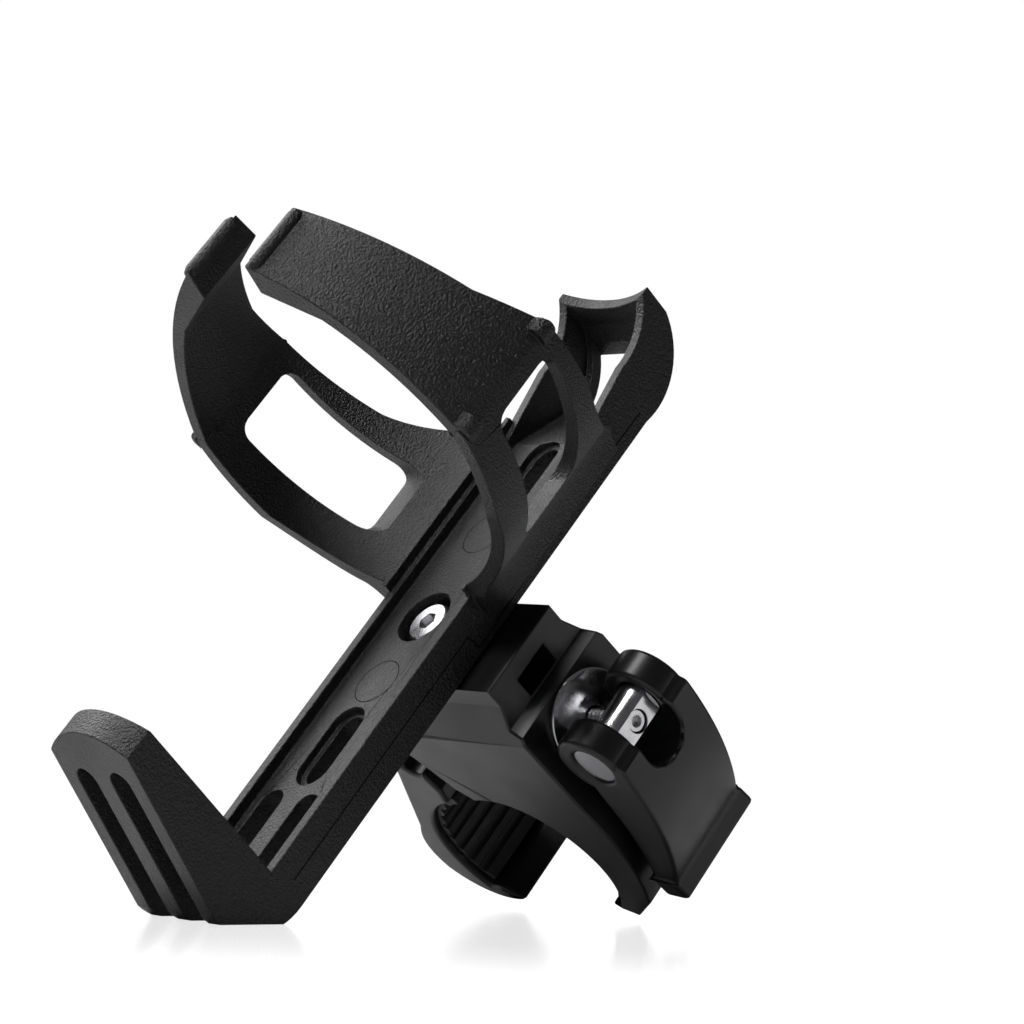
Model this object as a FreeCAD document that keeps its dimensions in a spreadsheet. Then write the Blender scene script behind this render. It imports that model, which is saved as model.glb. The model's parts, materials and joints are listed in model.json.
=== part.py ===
# Bottle cage with a quick-release tube clamp.
# The bottle stands in a moulded frame with two wrap-around arms; the frame is bolted to a clamp
# whose two jaws close on a tube and are drawn together by a cam lever.

import FreeCAD
import Part
import Sketcher
import math
import os

doc = FreeCAD.newDocument("bottle_cage")
sheet = doc.addObject("Spreadsheet::Sheet", "sizes")

# Driving dimensions in millimetres and degrees. Plan places (x sideways, y away from the bottle)
# are measured from the clamp bolt's axis at the plane of the spine's front rims.
SIZES = [
    # Bottle and arms
    ("bottle_radius", 36.4),
    ("arm_wall", 2.8),
    ("tip_gap", 17.0),
    ("tip_wall", 5.4),
    ("tip_wedge", 12.0),
    ("tip_reach", 70.2),
    ("wedge_back", 11.5),
    ("front_radius", 60.0),
    ("arm_low_root", 73.5),
    ("arm_low_root_radius", 60.0),
    ("arm_top_root_radius", 24.0),
    ("arm_low_bend", 75.2),
    ("arm_low_side", 77.6),
    ("arm_low_tip", 83.4),
    ("arm_top_root", 115.5),
    ("arm_top_bend", 105.0),
    ("arm_top_side", 103.6),
    ("arm_top_front", 99.6),
    ("arm_top_tip", 97.4),
    ("arm_bend_reach", 18.0),
    ("arm_side_reach", 35.0),
    ("arm_front_reach", 47.0),
    ("window_near", 4.6),
    ("window_far", 31.5),
    ("window_low_near", 82.8),
    ("window_low_far", 84.2),
    ("window_top_near", 98.8),
    ("window_top_far", 100.4),
    ("window_corner", 3.0),
    ("boss_radius", 2.2),
    ("boss_height", 3.4),
    ("boss_offset", 0.6),
    # Spine
    ("spine_width", 24.0),
    ("spine_depth", 8.8),
    ("spine_top", 142.0),
    ("spine_wall", 2.2),
    ("floor_recess", 2.0),
    ("floor_wall", 2.6),
    ("hook_start", 112.0),
    ("hook_bend", 127.0),
    ("hook_bend_reach", 2.2),
    ("hook_reach", 8.0),
    ("hook_lip", 1.6),
    ("hook_wall", 2.4),
    ("hook_hollow", 2.5),
    ("hook_back_start", 124.0),
    ("hook_back_radius", 15.5),
    ("hook_front_radius", 15.3),
    ("top_hole_low", 121.0),
    ("top_hole_high", 138.0),
    ("top_hole_low_width", 13.0),
    ("top_hole_high_width", 17.0),
    # Foot
    ("foot_reach", 33.8),
    ("foot_nose", 4.0),
    ("foot_top_heel", 12.7),
    ("foot_top_tip", 14.7),
    ("foot_under_tip", 9.6),
    ("heel_radius", 12.3),
    ("heel_height", 12.2),
    ("heel_reach", 3.0),
    ("foot_slot_width", 5.6),
    ("foot_slot_spacing", 10.4),
    ("foot_slot_below", 10.4),
    ("foot_slot_reach", 30.5),
    # Holes of the spine
    ("bolt_height", 70.0),
    ("slot_low_height", 40.4),
    ("slot_pitch", 64.0),
    ("slot_width", 5.6),
    ("slot_length", 15.0),
    ("slot_margin", 1.2),
    ("slot_sink", 1.4),
    ("bolt_radius", 2.5),
    ("bolt_head_radius", 4.4),
    ("bolt_head_height", 2.8),
    ("bolt_socket_radius", 1.7),
    ("bolt_socket_depth", 1.6),
    ("bolt_recess_radius", 5.6),
    ("bolt_length", 13.0),
    ("bolt_seat_wall", 3.0),
    ("nut_width", 8.0),
    ("nut_height", 4.0),
    ("nut_place", 12.8),
    ("root_plate_lift", 0.4),
    ("root_fillet", 14.0),
    ("root_spread", 8.0),
    # Clearances
    ("turning_gap", 0.08),
    ("moving_gap", 0.4),
    ("seat_gap", 0.05),
    # Tube and clamp
    ("tube_radius", 15.45),
    ("tube_side", -3.5),
    ("tube_distance", 54.8),
    ("clamp_width", 26.0),
    ("base_width", 20.0),
    ("base_left", -15.5),
    ("base_right", 20.2),
    ("base_gap", 0.3),
    ("base_flare_start", 13.0),
    ("base_flare_end", 20.0),
    ("pad_wall", 1.5),
    ("pad_width", 23.0),
    ("upper_start", -101.0),
    ("upper_end_side", 9.5),
    ("upper_tip_wall", 1.89475),
    ("lower_start", 130.0),
    ("lower_end", 243.0),
    ("groove_pitch", 12.0),
    ("groove_radius", 0.9),
    ("upper_tip_reach", 68.4),
    ("upper_tip_side", 12.5),
    ("upper_back_side", 19.0),
    ("upper_back_step", 4.5),
    ("upper_back_radius", 40.0),
    ("jaw_open_angle", 17.0),
    ("hinge_side", -17.8),
    ("hinge_reach", 17.5),
    ("hinge_pin_radius", 2.4),
    ("knuckle_radius", 5.4),
    ("neck_width", 12.0),
    ("stop_side", -10.9),
    ("stop_reach", 35.3),
    ("cheek_side", -15.2),
    ("cheek_reach", 27.2),
    ("neck_stop_side", -10.2),
    ("jaw_neck_side", -21.0),
    ("jaw_neck_reach", 33.0),
    ("jaw_belly_side", -25.2),
    ("jaw_belly_reach", 53.0),
    ("jaw_crown_side", -24.2),
    ("jaw_crown_reach", 66.6),
    ("jaw_crown_radius", 11.6),
    ("jaw_tip_radius", 15.5),
    ("jaw_tip_side", -6.0),
    ("jaw_tip_reach", 68.6),
    # Draw screw, barrel nut and cross dowel
    ("barrel_radius", 3.0),
    ("barrel_length", 11.0),
    ("barrel_arm", 11.5),
    ("barrel_gap", 0.35),
    ("screw_radius", 2.0),
    ("screw_gap", 0.4),
    ("screw_swing", 4.4),
    ("screw_tilt", 2.0),
    ("dowel_side", 32.8),
    ("dowel_reach", 27.2),
    ("dowel_radius", 4.0),
    ("dowel_flat", 3.4),
    ("dowel_end_gap", 0.6),
    ("running_gap", 0.15),
    ("screw_end", 5.0),
    ("screw_sink", 0.4),
    ("washer_radius", 9.0),
    ("washer_wall", 1.0),
    ("washer_dish", 0.6),
    # Lever
    ("lever_width", 21.5),
    ("lever_wall", 2.4),
    ("fork_width", 9.6),
    ("fork_reach", 8.5),
    ("cam_radius", 6.8),
    ("cam_throw", 0.8),
    ("lever_back_reach", 59.0),
    ("lever_back_side", 28.5),
    ("lever_tip_reach", 63.0),
    ("lever_tip_side", 29.2),
    ("lever_back_radius", 62.0),
    ("lever_inner_radius", 60.0),
    ("tip_flange", 0.8),
    ("lever_tip_wall", 5.4),
    ("lever_tip_slant", 0.6),
    ("lever_back_wall", 5.2),
    ("lever_back_step", 2.0),
    ("handle_root_side", 5.0),
    ("handle_root_reach", 9.0),
    ("trough_start", 10.0),
]

cells = {}
for row, (alias, value) in enumerate(SIZES, start=1):
    sheet.set("A%d" % row, alias)
    sheet.set("B%d" % row, str(value))
    sheet.setAlias("B%d" % row, alias)
    cells[alias] = value
doc.recompute()


def bind(thing, path, expression):
    """Bind one property to an expression of the named sizes."""
    thing.setExpression(path, expression)


def named(expression):
    """Put the sheet's name before each named size in an expression."""
    words = []
    word = ""
    for letter in str(expression) + " ":
        if letter.isalnum() or letter in "_.":
            word += letter
            continue
        if word in cells:
            word = "sizes." + word
        words.append(word)
        words.append(letter)
        word = ""
    return "".join(words).strip()


def value_of(expression):
    """The number that an expression of the named sizes gives now."""
    return float(sheet.evalExpression(named(expression)))


def new_body(label, shift_z="0"):
    """A body whose own frame is the bolt frame; its placement leads to the tube's centre."""
    body = doc.addObject("PartDesign::Body", label)
    body.Label = label
    bind(body, "Placement.Base.x", named("-tube_side"))
    bind(body, "Placement.Base.y", named("-tube_distance"))
    bind(body, "Placement.Base.z", named(shift_z))
    return body


def new_sketch(body, name, role="XY_Plane", offset="0"):
    """A sketch on one of the body's own planes, moved along that plane's normal."""
    sketch = body.newObject("Sketcher::SketchObject", name)
    plane = [item for item in body.Origin.OriginFeatures if item.Role == role][0]
    sketch.AttachmentSupport = [(plane, "")]
    sketch.MapMode = "FlatFace"
    bind(sketch, "AttachmentOffset.Base.z", named(offset))
    return sketch


def pin_point(sketch, edge, corner, across, along):
    """Hold one end of a sketch edge at the place that two expressions give."""
    for kind, expression in (("DistanceX", across), ("DistanceY", along)):
        number = sketch.addConstraint(
            Sketcher.Constraint(kind, -1, 1, edge, corner, value_of(expression)))
        bind(sketch, "Constraints[%d]" % number, named(expression))


def arc_through(start, end, radius):
    """An arc from start to end; a positive radius turns left on the way."""
    chord = end - start
    half = chord.Length / 2
    reach = max(abs(radius), half * 1.0001)
    rise = math.sqrt(reach * reach - half * half)
    side = FreeCAD.Vector(-chord.y, chord.x, 0)
    side.normalize()
    turn = 1 if radius > 0 else -1
    centre = (start + end) * 0.5 + side * (rise * turn)
    first = math.atan2(start.y - centre.y, start.x - centre.x)
    last = math.atan2(end.y - centre.y, end.x - centre.x)
    if turn < 0:
        first, last = last, first
    if last < first:
        last += 2 * math.pi
    circle = Part.Circle(centre, FreeCAD.Vector(0, 0, 1), reach)
    return Part.ArcOfCircle(circle, first, last), turn


def outline(body, name, corners, role="XY_Plane", offset="0"):
    """A closed outline; a corner is (across, along) or (across, along, radius of the arc after it)."""
    sketch = new_sketch(body, name, role, offset)
    places = [FreeCAD.Vector(value_of(c[0]), value_of(c[1]), 0) for c in corners]
    ends = []
    for index, corner in enumerate(corners):
        start = places[index]
        end = places[(index + 1) % len(places)]
        if len(corner) > 2:
            arc, turn = arc_through(start, end, value_of(corner[2]))
            edge = sketch.addGeometry(arc, False)
            ends.append((edge, 1, 2) if turn > 0 else (edge, 2, 1))
            number = sketch.addConstraint(
                Sketcher.Constraint("Radius", edge, abs(value_of(corner[2]))))
            bind(sketch, "Constraints[%d]" % number, "abs(%s)" % named(corner[2]))
        else:
            edge = sketch.addGeometry(Part.LineSegment(start, end), False)
            ends.append((edge, 1, 2))
    for index, (edge, first, last) in enumerate(ends):
        following = ends[(index + 1) % len(ends)]
        sketch.addConstraint(
            Sketcher.Constraint("Coincident", edge, last, following[0], following[1]))
        pin_point(sketch, edge, first, corners[index][0], corners[index][1])
    return sketch


def ring(body, name, across, along, radius, role="XY_Plane", offset="0"):
    """A circle in a sketch of its own."""
    sketch = new_sketch(body, name, role, offset)
    centre = FreeCAD.Vector(value_of(across), value_of(along), 0)
    edge = sketch.addGeometry(
        Part.Circle(centre, FreeCAD.Vector(0, 0, 1), value_of(radius)), False)
    pin_point(sketch, edge, 3, across, along)
    number = sketch.addConstraint(Sketcher.Constraint("Radius", edge, value_of(radius)))
    bind(sketch, "Constraints[%d]" % number, named(radius))
    return sketch


def oval(body, name, across, along, width, length, role="XY_Plane", offset="0"):
    """A slot with round ends, its length along the sketch's second direction."""
    left = "%s - (%s) / 2" % (across, width)
    right = "%s + (%s) / 2" % (across, width)
    low = "%s - ((%s) - (%s)) / 2" % (along, length, width)
    top = "%s + ((%s) - (%s)) / 2" % (along, length, width)
    half = "(%s) / 2" % width
    return outline(body, name, [
        (right, low),
        (right, top, half),
        (left, top),
        (left, low, half),
    ], role, offset)


def add_pad(body, name, sketch, length, both_ways=True, back=False):
    """Material along the sketch's normal, by default as much on either side."""
    pad = body.newObject("PartDesign::Pad", name)
    pad.Profile = sketch
    bind(pad, "Length", named(length))
    if both_ways:
        pad.SideType = "Symmetric"
    pad.Reversed = back
    return pad


def cut_pocket(body, name, sketch, length, both_ways=True, back=False):
    """A cut along the sketch's normal, by default as deep on either side."""
    pocket = body.newObject("PartDesign::Pocket", name)
    pocket.Profile = sketch
    bind(pocket, "Length", named(length))
    if both_ways:
        pocket.SideType = "Symmetric"
    pocket.Reversed = back
    return pocket


def on_circle(centre_x, centre_y, radius, angle):
    """The two expressions of a point on a circle, at an angle from the sketch's first direction."""
    across = "%s + (%s) * cos(%s)" % (centre_x, radius, angle)
    along = "%s + (%s) * sin(%s)" % (centre_y, radius, angle)
    return across, along


def turn_axis(body, name, sketch, axis="H_Axis"):
    """A solid of revolution about one of the sketch's own axes."""
    solid = body.newObject("PartDesign::Revolution", name)
    solid.Profile = sketch
    solid.ReferenceAxis = (sketch, [axis])
    solid.Angle = 360
    return solid


def make_cage_frame():
    """The one-piece moulded frame: spine, foot and the two arms that hold the bottle."""
    body = new_body("cage_frame", "-bolt_height")
    nose = "-(foot_reach + foot_nose)"
    profile = outline(body, "spine_profile", [
        ("0", "foot_top_heel"),
        (nose, "foot_top_tip"),
        (nose, "foot_under_tip"),
        ("-heel_reach", "0", "heel_radius"),
        ("spine_depth", "heel_height"),
        ("spine_depth", "hook_back_start", "hook_back_radius"),
        ("-hook_lip", "spine_top"),
        ("-hook_reach", "spine_top"),
        ("-hook_reach", "spine_top - hook_lip", "-hook_front_radius"),
        ("-hook_bend_reach", "hook_bend"),
        ("0", "hook_start"),
    ], "YZ_Plane")
    add_pad(body, "spine_and_foot", profile, "spine_width")

    # The foot's end is an arc in plan.
    far = "-(foot_reach + 3 * foot_nose)"
    nose_cut = outline(body, "foot_nose_outline", [
        ("-spine_width", far),
        ("spine_width", far),
        ("spine_width", "-foot_reach"),
        ("spine_width / 2", "-foot_reach",
         "-((spine_width / 2)^2 + foot_nose^2) / (2 * foot_nose)"),
        ("-spine_width / 2", "-foot_reach"),
        ("-spine_width", "-foot_reach"),
    ])
    cut_pocket(body, "foot_nose_cut", nose_cut, "4 * foot_top_tip")

    # Between the rims the floor lies deeper; the recess follows the hook.
    channel = outline(body, "floor_profile", [
        ("floor_recess", "foot_top_heel + 1"),
        ("floor_recess", "hook_start"),
        ("spine_depth - hook_wall", "hook_back_start", "hook_back_radius - hook_wall"),
        ("-hook_lip", "spine_top - hook_wall"),
        ("-3 * hook_reach", "spine_top - hook_wall"),
        ("-3 * hook_reach", "foot_top_heel + 1"),
    ], "YZ_Plane")
    cut_pocket(body, "floor_recess_cut", channel, "spine_width - 2 * spine_wall")

    # The hook's lip is hollowed in plan, so that its two corners stand out.
    lip = outline(body, "hook_lip_outline", [
        ("spine_width / 2", "-hook_reach",
         "((spine_width / 2)^2 + hook_hollow^2) / (2 * hook_hollow)"),
        ("-spine_width / 2", "-hook_reach"),
        ("-spine_width / 2", "-2 * hook_reach"),
        ("spine_width / 2", "-2 * hook_reach"),
    ], "XY_Plane", "spine_top + 1")
    cut_pocket(body, "hook_lip_cut", lip, "hook_reach + 1", False)

    # Hollow back between the blocks that carry the bolts.
    block = "(slot_length / 2 + slot_margin)"
    low_slot = "slot_low_height"
    top_slot = "(slot_low_height + slot_pitch)"
    hollows = [
        ("low_hollow", "%s + %s" % (low_slot, block), "bolt_height - bolt_recess_radius - floor_wall"),
        ("high_hollow", "bolt_height + bolt_recess_radius + floor_wall", "%s - %s" % (top_slot, block)),
    ]
    for name, low, high in hollows:
        hollow = outline(body, name + "_outline", [
            ("-spine_width / 2 + spine_wall", low),
            ("spine_width / 2 - spine_wall", low),
            ("spine_width / 2 - spine_wall", high),
            ("-spine_width / 2 + spine_wall", high),
        ], "XZ_Plane", "-(floor_recess + floor_wall)")
        cut_pocket(body, name, hollow, "2 * spine_depth", False)

    # Two long slots run from the foot round the heel and up the floor, a rib between them.
    for name, sign in (("right", ""), ("left", "-")):
        side = "%sfoot_slot_spacing / 2" % sign
        reach = "(foot_slot_reach + 2 * spine_depth)"
        foot_slot = oval(body, "foot_slot_outline_" + name, side,
                         "-foot_slot_reach + %s / 2" % reach, "foot_slot_width", reach)
        cut_pocket(body, "foot_slot_" + name, foot_slot, "2.6 * foot_top_tip")
        slot_end = "(slot_low_height - foot_slot_below)"
        rise = "(%s + spine_depth)" % slot_end
        floor_slot = oval(body, "floor_slot_outline_" + name, side,
                          "%s - %s / 2" % (slot_end, rise), "foot_slot_width", rise, "XZ_Plane")
        cut_pocket(body, "floor_slot_" + name, floor_slot, "4 * spine_depth")

    # Two oval holes take the frame's own bolts, each in a shallow seat.
    for name, height in (("low", low_slot), ("high", top_slot)):
        seat = oval(body, name + "_slot_seat_outline", "0", height,
                    "slot_width + 2 * slot_margin", "slot_length + 2 * slot_margin",
                    "XZ_Plane", "-(floor_recess + slot_sink)")
        cut_pocket(body, name + "_slot_seat", seat, "2 * slot_sink", False, True)
        hole = oval(body, name + "_slot_outline", "0", height, "slot_width", "slot_length",
                    "XZ_Plane")
        cut_pocket(body, name + "_slot", hole, "4 * spine_depth")

    # The clamp's bolt: a recess for its head, then a close hole.
    recess = ring(body, "bolt_recess_outline", "0", "bolt_height", "bolt_recess_radius",
                  "XZ_Plane", "-(spine_depth - bolt_seat_wall)")
    cut_pocket(body, "bolt_recess", recess, "spine_depth", False, True)
    hole = ring(body, "bolt_hole_outline", "0", "bolt_height", "bolt_radius + turning_gap",
                "XZ_Plane")
    cut_pocket(body, "bolt_hole", hole, "4 * spine_depth")

    # A hole with slanted sides goes through the floor under the hook.
    top_hole = outline(body, "top_hole_outline", [
        ("-top_hole_low_width / 2", "top_hole_low"),
        ("top_hole_low_width / 2", "top_hole_low"),
        ("top_hole_high_width / 2", "top_hole_high"),
        ("-top_hole_high_width / 2", "top_hole_high"),
    ], "XZ_Plane")
    cut_pocket(body, "top_hole", top_hole, "6 * spine_depth")

    for name, sign in (("right", ""), ("left", "-")):
        make_arm(body, name, sign)
    return body


def make_arm(body, name, sign):
    """One arm: a band round the bottle, flatter in front, with a window and a wedge tip."""
    turn = "-" if sign == "" else ""
    outer = "(bottle_radius + arm_wall)"
    back = "-bottle_radius"
    start = "(spine_width / 2 - 1)"
    other = "" if turn else "-"
    ridge = "(bottle_radius - arm_side_reach)"
    plan = outline(body, "arm_plan_" + name, [
        ("%s%s" % (sign, start), "%s + sqrt(%s^2 - %s^2)" % (back, outer, start),
         "%s%s" % (turn, outer)),
        ("%ssqrt(%s^2 - %s^2)" % (sign, outer, ridge), "-arm_side_reach",
         "%sfront_radius" % turn),
        ("%s(tip_gap / 2)" % sign, "-tip_reach"),
        ("%s(tip_gap / 2)" % sign, "-tip_reach + tip_wall"),
        ("%s(tip_gap / 2 + tip_wedge)" % sign, "-(tip_reach - wedge_back)",
         "%s(front_radius - arm_wall)" % other),
        ("%ssqrt(bottle_radius^2 - %s^2)" % (sign, ridge), "-arm_side_reach",
         "%sbottle_radius" % other),
        ("%s%s" % (sign, start), "%s + sqrt(bottle_radius^2 - %s^2)" % (back, start)),
    ], "XY_Plane", "arm_low_root")
    add_pad(body, "arm_band_" + name, plan, "arm_top_root - arm_low_root", False)

    # A fairing leads from the spine's side wall into the band.
    fairing = outline(body, "arm_root_plan_" + name, [
        ("%s%s" % (sign, start), "0"),
        ("%s%s" % (sign, start), "spine_depth - 1"),
        ("%s(spine_width / 2 + root_plate_lift)" % sign, "spine_depth - 2 * arm_wall / 3",
         "%sroot_fillet" % other),
        ("%s(spine_width / 2 + root_spread)" % sign,
         "%s + sqrt(%s^2 - (spine_width / 2 + root_spread)^2) - 0.2" % (back, outer)),
        ("%s(spine_width / 2 + 2)" % sign,
         "%s + sqrt(%s^2 - (spine_width / 2 + 2)^2) - 1" % (back, outer)),
    ], "XY_Plane", "arm_low_root")
    add_pad(body, "arm_root_" + name, fairing, "arm_top_root - arm_low_root", False)

    # Two short round bosses stand at the band's edges where it turns to the front.
    for place, height in (("low", "arm_low_side + 0.2"),
                          ("top", "arm_top_side - boss_height - 0.2")):
        boss = ring(body, "%s_boss_plan_%s" % (place, name),
                    "%s(bottle_radius + arm_wall / 2 + boss_offset)" % sign,
                    "-arm_side_reach", "boss_radius", "XY_Plane", height)
        add_pad(body, "%s_boss_%s" % (place, name), boss, "boss_height", False)

    # Side cuts outside the spine leave the band's lower and upper edges and its window.
    plane = "%sspine_width / 2" % sign
    far = "-tip_reach - 1"
    below = outline(body, "arm_below_outline_" + name, [
        ("spine_depth + 1", "arm_low_root"),
        ("2", "arm_low_root", "arm_low_root_radius"),
        ("-arm_bend_reach", "arm_low_bend"),
        ("-arm_side_reach", "arm_low_side"),
        (far, "arm_low_tip"),
        (far, "arm_low_root - 3"),
        ("spine_depth + 1", "arm_low_root - 3"),
    ], "YZ_Plane", plane)
    above = outline(body, "arm_above_outline_" + name, [
        ("spine_depth + 1", "arm_top_root"),
        ("1", "arm_top_root", "-arm_top_root_radius"),
        ("-arm_bend_reach + 4", "arm_top_bend"),
        ("-arm_side_reach", "arm_top_side"),
        ("-arm_front_reach", "arm_top_front"),
        (far, "arm_top_tip"),
        (far, "arm_top_root + 3"),
        ("spine_depth + 1", "arm_top_root + 3"),
    ], "YZ_Plane", plane)
    window = outline(body, "window_outline_" + name, [
        ("-window_near", "window_low_near + window_corner"),
        ("-window_near", "window_top_near - window_corner", "window_corner"),
        ("-window_near - window_corner", "window_top_near"),
        ("-window_far + window_corner", "window_top_far", "window_corner"),
        ("-window_far", "window_top_far - window_corner"),
        ("-window_far", "window_low_far + window_corner", "window_corner"),
        ("-window_far + window_corner", "window_low_far"),
        ("-window_near - window_corner", "window_low_near", "window_corner"),
    ], "YZ_Plane", plane)
    for cut, sketch in (("below", below), ("above", above), ("window", window)):
        cut_pocket(body, "arm_%s_%s" % (cut, name), sketch, "1.5 * bottle_radius", False,
                   sign == "")

    # The same two edges run on over the tip, which lies nearer the middle than the spine's side.
    plane = "%s(tip_gap / 2 - 1)" % sign
    below_tip = outline(body, "tip_below_outline_" + name, [
        ("-arm_side_reach", "arm_low_side"),
        (far, "arm_low_tip"),
        (far, "arm_low_root - 3"),
        ("-arm_side_reach", "arm_low_root - 3"),
    ], "YZ_Plane", plane)
    above_tip = outline(body, "tip_above_outline_" + name, [
        ("-arm_front_reach", "arm_top_front"),
        (far, "arm_top_tip"),
        (far, "arm_top_root + 3"),
        ("-arm_front_reach", "arm_top_root + 3"),
    ], "YZ_Plane", plane)
    for cut, sketch in (("below", below_tip), ("above", above_tip)):
        cut_pocket(body, "tip_%s_%s" % (cut, name), sketch, "bottle_radius", False, sign == "")


def along_screw(distance, side):
    """A plan point beside the draw screw's line, counted outwards from the cross dowel."""
    across = "dowel_side + (%s) * cos(screw_tilt) + (%s) * sin(screw_tilt)" % (distance, side)
    along = "dowel_reach - (%s) * sin(screw_tilt) + (%s) * cos(screw_tilt)" % (distance, side)
    return across, along


def seat_point(radius, angle):
    """A point on a circle about the tube's axis."""
    return on_circle("tube_side", "tube_distance", radius, angle)


# The angle at which the upper jaw's seat and its pad end: towards a place under the jaw's tip.
UPPER_END = ("(atan((upper_tip_reach - upper_tip_wall - tube_distance)"
             " / (upper_end_side - tube_side)) / 1 deg)")


def make_clamp_body():
    """The fixed half of the clamp: base on the spine, hinge cheeks and the upper jaw."""
    body = new_body("clamp_body")
    seat = "(tube_radius + pad_wall + seat_gap)"
    low_x, low_y = seat_point(seat, "upper_start - 3")
    top_x, top_y = seat_point(seat, UPPER_END)
    in_x, in_y = seat_point("tube_radius", UPPER_END + " + 1")
    face = "spine_depth + base_gap"
    washer_seat = "%s - washer_wall - washer_dish - seat_gap" % CAM_FACE
    plan = outline(body, "jaw_plan", [
        ("base_left", face),
        ("base_right", face),
        ("base_right", "dowel_reach - washer_radius - 1"),
        along_screw(washer_seat, "-washer_radius"),
        along_screw(washer_seat, "washer_radius") + ("upper_back_radius",),
        ("upper_back_side", "upper_tip_reach - upper_back_step"),
        ("upper_tip_side", "upper_tip_reach"),
        (in_x, in_y),
        (top_x, top_y, "-%s" % seat),
        (low_x, low_y),
        ("stop_side", "stop_reach"),
        ("cheek_side", "cheek_reach"),
        ("hinge_side", "hinge_reach + knuckle_radius", "knuckle_radius"),
        ("hinge_side - knuckle_radius * cos(30)", "hinge_reach - knuckle_radius * sin(30)"),
    ])
    add_pad(body, "jaw_block", plan, "clamp_width")

    # Towards the spine the base is narrower than the jaw.
    for name, sign in (("top", ""), ("under", "-")):
        flare = outline(body, "base_flare_%s_outline" % name, [
            ("0", "%sbase_width / 2" % sign),
            ("base_flare_start", "%sbase_width / 2" % sign),
            ("base_flare_end", "%sclamp_width / 2" % sign),
            ("base_flare_end", "%sclamp_width" % sign),
            ("0", "%sclamp_width" % sign),
        ], "YZ_Plane")
        cut_pocket(body, "base_flare_" + name, flare, "6 * clamp_width")

    # The lower jaw's neck turns in a slot between the two hinge cheeks.
    neck_slot = outline(body, "neck_slot_outline", [
        ("3 * hinge_side", face + " + 1.6"),
        ("hinge_side + knuckle_radius + moving_gap", face + " + 1.6"),
        ("neck_stop_side", "hinge_reach + 4"),
        ("neck_stop_side", "stop_reach - 4"),
        (low_x, low_y),
        (low_x, "tube_distance"),
        ("3 * hinge_side", "tube_distance"),
    ])
    cut_pocket(body, "neck_slot", neck_slot, "neck_width + 2 * moving_gap")

    # Bore of the hinge pin, bore of the bolt, pocket of its nut, channel of the draw screw.
    pin_bore = ring(body, "hinge_bore_outline", "hinge_side", "hinge_reach",
                    "hinge_pin_radius + seat_gap")
    cut_pocket(body, "hinge_bore", pin_bore, "2 * clamp_width")
    bolt_bore = ring(body, "bolt_bore_outline", "0", "0", "bolt_radius + turning_gap", "XZ_Plane",
                     "-(%s - 1)" % face)
    cut_pocket(body, "bolt_bore", bolt_bore, "bolt_length + 1", False)
    nut_pocket = outline(body, "nut_pocket_outline", [
        ("nut_place", "-nut_width / 2 - seat_gap"),
        ("nut_place + nut_height + 2 * seat_gap", "-nut_width / 2 - seat_gap"),
        ("nut_place + nut_height + 2 * seat_gap", "nut_width / 2 + seat_gap"),
        ("nut_place", "nut_width / 2 + seat_gap"),
    ], "YZ_Plane", "-nut_width / 2 - seat_gap")
    cut_pocket(body, "nut_pocket", nut_pocket, "2 * clamp_width", False, True)
    side = "(screw_radius + screw_gap)"
    channel = outline(body, "screw_channel_outline", [
        along_screw("-3 * clamp_width", "-" + side),
        along_screw("0", "-" + side),
        along_screw("0", side),
        along_screw("-3 * clamp_width", side),
    ])
    cut_pocket(body, "screw_channel", channel, "2 * %s" % side)
    return body


def arc_pad(label, start, end, grooves):
    """A rubber pad that lines one jaw; grooves along the tube leave ribs between them."""
    body = new_body(label)
    inner_start = seat_point("tube_radius", start)
    inner_end = seat_point("tube_radius", end)
    outer_start = seat_point("(tube_radius + pad_wall)", start)
    outer_end = seat_point("(tube_radius + pad_wall)", end)
    plan = outline(body, label + "_plan", [
        (outer_start[0], outer_start[1], "tube_radius + pad_wall"),
        outer_end,
        (inner_end[0], inner_end[1], "-tube_radius"),
        inner_start,
    ])
    add_pad(body, label + "_block", plan, "pad_width")
    for number in range(grooves):
        across, along = seat_point("tube_radius", "%s + %g * groove_pitch" % (start, number + 1))
        groove = ring(body, "%s_groove_outline_%d" % (label, number), across, along,
                      "groove_radius")
        cut_pocket(body, "%s_groove_%d" % (label, number), groove, "2 * pad_width")
    return body


def open_jaw(body):
    """Stand a body that is drawn with the jaw closed at the jaw's open place."""
    angle = "jaw_open_angle"
    bind(body, "Placement.Rotation.Angle", named(angle))
    body.Placement.Rotation.Axis = FreeCAD.Vector(0, 0, 1)
    turned_x = "(hinge_side * cos(%s) - hinge_reach * sin(%s))" % (angle, angle)
    turned_y = "(hinge_side * sin(%s) + hinge_reach * cos(%s))" % (angle, angle)
    bind(body, "Placement.Base.x", named("hinge_side - %s - tube_side" % turned_x))
    bind(body, "Placement.Base.y", named("hinge_reach - %s - tube_distance" % turned_y))


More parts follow.
